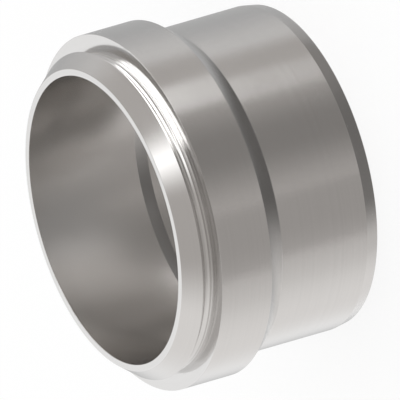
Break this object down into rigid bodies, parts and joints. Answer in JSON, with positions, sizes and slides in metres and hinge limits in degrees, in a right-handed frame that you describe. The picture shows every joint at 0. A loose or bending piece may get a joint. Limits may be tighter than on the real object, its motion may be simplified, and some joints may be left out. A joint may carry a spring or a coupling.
{
  "type": "crimp hose ferrule",
  "caption": "One-piece turned hose ferrule with a conical nose, a fine groove, a thick collar with a sloped shoulder, and a thin skirt with a wider bore.",
  "frame": {"origin": "centre of the rear end face, where the skirt ends", "axes": "+Z along the axis of the ferrule, from the skirt towards the nose; the part is round, so +X and +Y are free"},
  "size_m": [0.074, 0.074, 0.0443],
  "materials": {
    "turned_steel": "fine turned, satin"
  },
  "bodies": {
    "root": {"ferrule": "turned_steel"}
  },
  "joints": []
}
